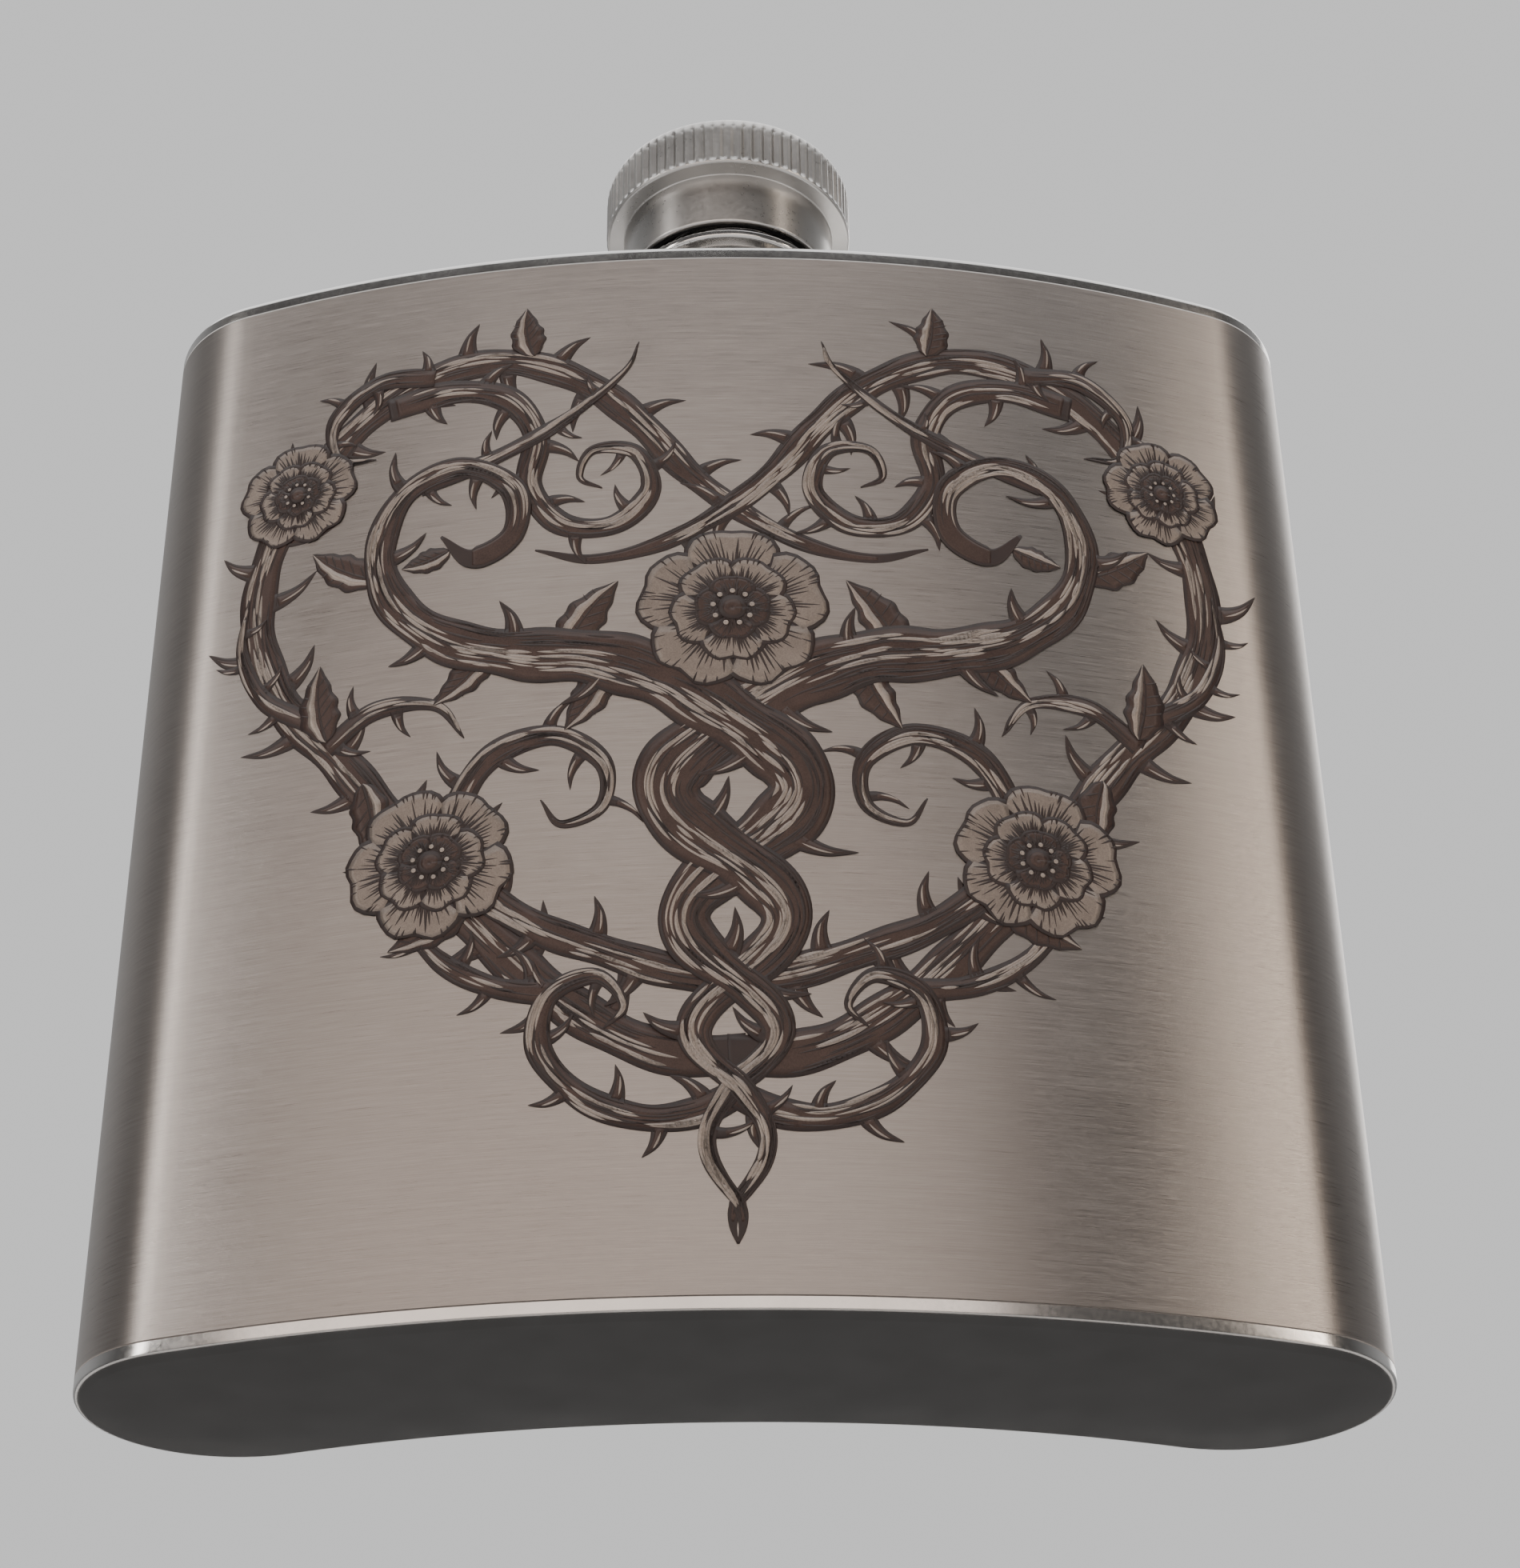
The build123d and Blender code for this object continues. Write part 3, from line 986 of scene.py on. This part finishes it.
# Vines of the right half: (start width, end width, part of the length that narrows to the
# tip), level, whether the right one crosses over the left one, thorns, thorn length, knots
VINES = (
    ((3.5, 2.4, 0.2), 0.0, True, 28, 3.0, (
        (-0.6, 19.4), (4, 19.6), (8.6, 21.4), (14, 25.6), (19.5, 31.6), (24.6, 38.6), (30, 46),
        (35.4, 52.6), (38, 60), (37.4, 67.4), (34.2, 73.6), (29.6, 79), (23.8, 82.4),
        (17.6, 82.8), (11.6, 80), (7, 75.4), (3.4, 70.6), (-1.2, 66.4), (-6, 63.6),
        (-11, 62.6), (-15.4, 63.8),
    )),
    ((2.5, 1.6, 0.3), 1.6, True, 10, 2.2, (
        (28, 79.4), (22.6, 80.4), (18, 79), (15.6, 75), (16, 70.2), (13.4, 66.2),
        (9.2, 65.8), (6.4, 69), (7.6, 72.8), (11, 73.2), (12, 70.6), (10.2, 69.4),
    )),
    ((2.9, 1.7, 0.3), 1.6, True, 12, 2.5, (
        (-0.5, 25.2), (4.6, 26.2), (9.4, 28), (14.6, 30.4), (19.4, 34.6), (20.8, 40),
        (18.4, 45), (13.6, 46.6), (9.8, 44), (9.8, 40.2), (12.8, 38.8), (14.4, 41),
    )),
    ((2.4, 1.4, 0.3), 2.4, True, 7, 2.2, (
        (-0.3, 16.6), (3, 15), (6.8, 14.8), (11, 16.6), (14, 20.4), (13.4, 24.6), (10, 26),
        (8, 23.6), (9.4, 21.8),
    )),
    ((2.0, 1.1, 0.5), 2.4, False, 5, 2.4, (
        (13, 24.8), (17.4, 25.6), (21.6, 28.2), (24.6, 32.6), (24.4, 36.4),
    )),
    ((1.9, 1.2, 0.5), 3.4, False, 4, 1.8, (
        (24.2, 82.2), (29, 82.4), (32.6, 79.2), (32, 75.2), (28.8, 74.6),
    )),
    ((1.8, 1.0, 0.5), 2.6, False, 5, 2.0, ((32.6, 50), (37, 53.2), (39.2, 58), (39, 63))),
    ((1.9, 1.1, 0.5), 1.7, False, 4, 2.2, (
        (31.4, 47.6), (27.6, 50.4), (22.8, 50.2), (20.4, 47),
    )),
    ((1.7, 0.9, 0.5), 3.4, False, 4, 1.8, (
        (25, 71), (19, 73.2), (13.4, 76.4), (8.6, 81), (7.4, 84),
    )),
)

# Leaves of the right half: across, up, direction in degrees, length, width
LEAVES = (
    (16.0, 83.2, 70, 5.0, 2.8),
    (28.0, 62.6, 20, 6.6, 3.2),
    (13.0, 53.8, 110, 7.6, 3.4),
    (18.8, 54.8, 300, 6.0, 2.8),
    (9.6, 53.0, 285, 6.6, 3.0),
    (31.4, 48.2, 70, 7.0, 3.2),
    (28.2, 44.0, 250, 7.0, 3.0),
    (22.2, 64.6, 330, 4.0, 2.2),
    (19.6, 32.6, 318, 6.6, 2.8),
    (5.2, 30.8, 150, 4.6, 2.2),
)
LEAF_LEVEL = 3.2
LEAF_BEND = 0.22

# Roses of the right half: across, up, size, turn in radians, and how the mirrored one differs
ROSES = ((35.4, 72.4, 5.2, 0.5, 0.2), (22.6, 36.4, 6.6, 1.1, 0.3))
MIDDLE_ROSE = (0, 57.6)
MIDDLE_ROSE_SIZE = 7.6
ROSE_LEVEL = 7.5


def twined_stem(side):
    """One of the two main stems: it twines up the column, sweeps out and scrolls inwards."""
    knots = []
    for index, (low, high) in enumerate(zip(CROSSINGS, CROSSINGS[1:])):
        flip = side if (len(PARTING) - index) % 2 == 0 else -side
        for step in range(LAP_KNOTS):
            across = flip * PARTING[index] * math.sin(math.pi * step / LAP_KNOTS)
            knots.append((across, low + (high - low) * step / LAP_KNOTS))
    knots += [(side * across, up) for across, up in LYRE]
    line = curve(knots)

    def level(t):
        up = line[int(t * (len(line) - 1))][1]
        laps = 0.0
        for index, (low, high) in enumerate(zip(CROSSINGS, CROSSINGS[1:])):
            if up >= low:
                laps = index + min((up - low) / (high - low), 1.0)
        return STEM_LEVEL + STEM_LIFT * (0.5 + 0.5 * side * math.cos(math.pi * laps))

    def width(t):
        grow = 0.9 + 4.5 * smooth(t / 0.42)
        shrink = 1 - 0.62 * smooth((t - 0.5) / 0.36)
        return grow * shrink * min(1.0, (1.001 - t) / 0.04 + 0.1) * min(1.0, t / 0.03 + 0.15)

    stem(line, width, level, 13, 2.6, first=0.1)


def draw_ornament():
    """Both halves of the briar, mirrored about the middle of the front face, and its rose."""
    for side in (-1, 1):
        for widths, level, crosses, thorns, spike, knots in VINES:
            line = curve([(side * across, up) for across, up in knots])
            over = OVER if crosses and side > 0 else 0.0
            stem(line, taper(*widths), steady(level + over), thorns, spike)
        for across, up, direction, length, width in LEAVES:
            turned = direction if side > 0 else 180 - direction
            leaf((side * across, up), turned, length, width, LEAF_LEVEL, LEAF_BEND * side)
        for across, up, size, turn, change in ROSES:
            rose((side * across, up), size, ROSE_LEVEL, turn + change * side)
        twined_stem(side)
    rose(MIDDLE_ROSE, MIDDLE_ROSE_SIZE, ROSE_LEVEL, math.pi / 2)


def build_ornament():
    """Turn the drawn films into pieces on the front of the flask."""
    draw_ornament()
    for tone, (points, faces) in films.items():
        piece = add_piece(
            f"ornament_{tone}",
            points,
            faces,
            "flask",
            ORNAMENT[tone],
            solid=False,
        )
        film = piece.modifiers.new("film", "SOLIDIFY")
        film.thickness = FILM * MM
        film.offset = -1


build_ornament()

# ------------------------------------------------------------ stage and camera

# Soft lamps: name, location, width, height, power in watts, colour
LAMPS = (
    ("key", (-0.16, -0.82, 0.28), 1.15, 0.40, 2.6, (1.0, 0.86, 0.76)),
    ("strip_right", (0.62, -0.42, 0.30), 0.07, 0.5, 1.0, (1.0, 0.86, 0.72)),
    ("strip_left", (-0.68, -0.36, 0.30), 0.10, 0.5, 1.2, (1.0, 0.95, 0.90)),
    ("back", (0.3, 0.8, 0.6), 0.8, 0.6, 4, (1.0, 0.98, 0.95)),
)
LAMP_AIM = (0, 0, 0.05)
OVERHEAD_STRENGTH = 2.1
OVERHEAD_SPREAD = 80  # degrees
FLOOR_COLOUR = (0.78, 0.77, 0.76, 1)
FLOOR_REACH = 3.0
FLOOR_DROP = 0.0004  # gap between the base and the floor
FLOOR_GAP = 0.003  # rays shorter than this, which start at the base, pass through the floor
ROOM_DIM = (0.085, 0.083, 0.082)
ROOM_GLOW = (0.42, 0.42, 0.42)
BACKDROP = (0.78, 0.78, 0.78)
CAMERA_PLACE = (-0.0020, -0.2063, -0.0774)
CAMERA_TURN = (0.020, 0.547, -0.014)  # yaw, pitch and roll in radians
CAMERA_LENS = 71.0


def add_area(name, location, width, height, power, colour):
    """Soft rectangular lamp aimed at the flask."""
    data = bpy.data.lights.new(name, "AREA")
    data.shape = "RECTANGLE"
    data.size = width
    data.size_y = height
    data.energy = power
    data.color = colour
    lamp = bpy.data.objects.new(name, data)
    lamp.location = location
    aim = Vector(LAMP_AIM) - Vector(location)
    lamp.rotation_euler = aim.to_track_quat("-Z", "Y").to_euler()
    bpy.context.scene.collection.objects.link(lamp)


def add_overhead():
    """Wide soft light straight down, so that the floor is evenly pale to its edge."""
    data = bpy.data.lights.new("overhead", "SUN")
    data.energy = OVERHEAD_STRENGTH
    data.angle = math.radians(OVERHEAD_SPREAD)
    lamp = bpy.data.objects.new("overhead", data)
    lamp.location = (0, 0, 2)
    bpy.context.scene.collection.objects.link(lamp)


def add_floor():
    """Plain pale floor, clear when seen from below, where the camera stands."""
    material, tree, shader = new_material("floor_pale")
    shader.inputs["Base Color"].default_value = FLOOR_COLOUR
    shader.inputs["Roughness"].default_value = 0.9
    clear = node(tree, "ShaderNodeBsdfTransparent")
    side = node(tree, "ShaderNodeNewGeometry")
    path = node(tree, "ShaderNodeLightPath")
    near = maths(tree, "LESS_THAN", path.outputs["Ray Length"], FLOOR_GAP)
    hidden = maths(tree, "MAXIMUM", side.outputs["Backfacing"], near)
    mix = node(tree, "ShaderNodeMixShader")
    tree.links.new(hidden, mix.inputs["Fac"])
    tree.links.new(shader.outputs[0], mix.inputs[1])
    tree.links.new(clear.outputs[0], mix.inputs[2])
    tree.links.new(mix.outputs[0], tree.nodes["Material Output"].inputs["Surface"])
    mesh = bpy.data.meshes.new("floor")
    reach = FLOOR_REACH
    square = ((-reach, -reach), (reach, -reach), (reach, reach), (-reach, reach))
    mesh.from_pydata([(x, y, -FLOOR_DROP) for x, y in square], [], [(0, 1, 2, 3)])
    mesh.materials.append(material)
    floor = bpy.data.objects.new("floor", mesh)
    bpy.context.scene.collection.objects.link(floor)


def set_world():
    """Pale backdrop for the camera; the object gets a dim room that is lighter behind it."""
    world = bpy.data.worlds.new("studio")
    world.use_nodes = True
    tree = world.node_tree
    background = tree.nodes["Background"]
    place = node(tree, "ShaderNodeTexCoord")
    split = node(tree, "ShaderNodeSeparateXYZ")
    tree.links.new(place.outputs["Generated"], split.inputs["Vector"])
    behind = remap(tree, split.outputs["Y"], 0, 1, -0.2, 0.5)
    above = remap(tree, split.outputs["Z"], 0, 1, -0.05, 0.25)
    glow = maths(tree, "MULTIPLY", behind, above)
    room = mix_colour(tree, glow, ROOM_DIM, ROOM_GLOW)
    path = node(tree, "ShaderNodeLightPath")
    colour = mix_colour(tree, path.outputs["Is Camera Ray"], room, BACKDROP)
    tree.links.new(colour, background.inputs["Color"])
    bpy.context.scene.world = world


def add_camera():
    """Camera below the base, looking up at the front face."""
    data = bpy.data.cameras.new("camera")
    data.sensor_width = 36.0
    data.lens = CAMERA_LENS
    data.clip_start = 0.01
    camera = bpy.data.objects.new("camera", data)
    yaw, pitch, roll = CAMERA_TURN
    ahead = Vector(
        (math.sin(yaw) * math.cos(pitch), math.cos(yaw) * math.cos(pitch), math.sin(pitch))
    )
    right = Vector((math.cos(yaw), -math.sin(yaw), 0))
    up = right.cross(ahead)
    tilted_right = right * math.cos(roll) + up * math.sin(roll)
    tilted_up = up * math.cos(roll) - right * math.sin(roll)
    turn = Matrix((tilted_right, tilted_up, -ahead)).transposed()
    camera.matrix_world = Matrix.Translation(CAMERA_PLACE) @ turn.to_4x4()
    bpy.context.scene.collection.objects.link(camera)
    bpy.context.scene.camera = camera


add_floor()
set_world()
for lamp in LAMPS:
    add_area(*lamp)
add_overhead()
add_camera()
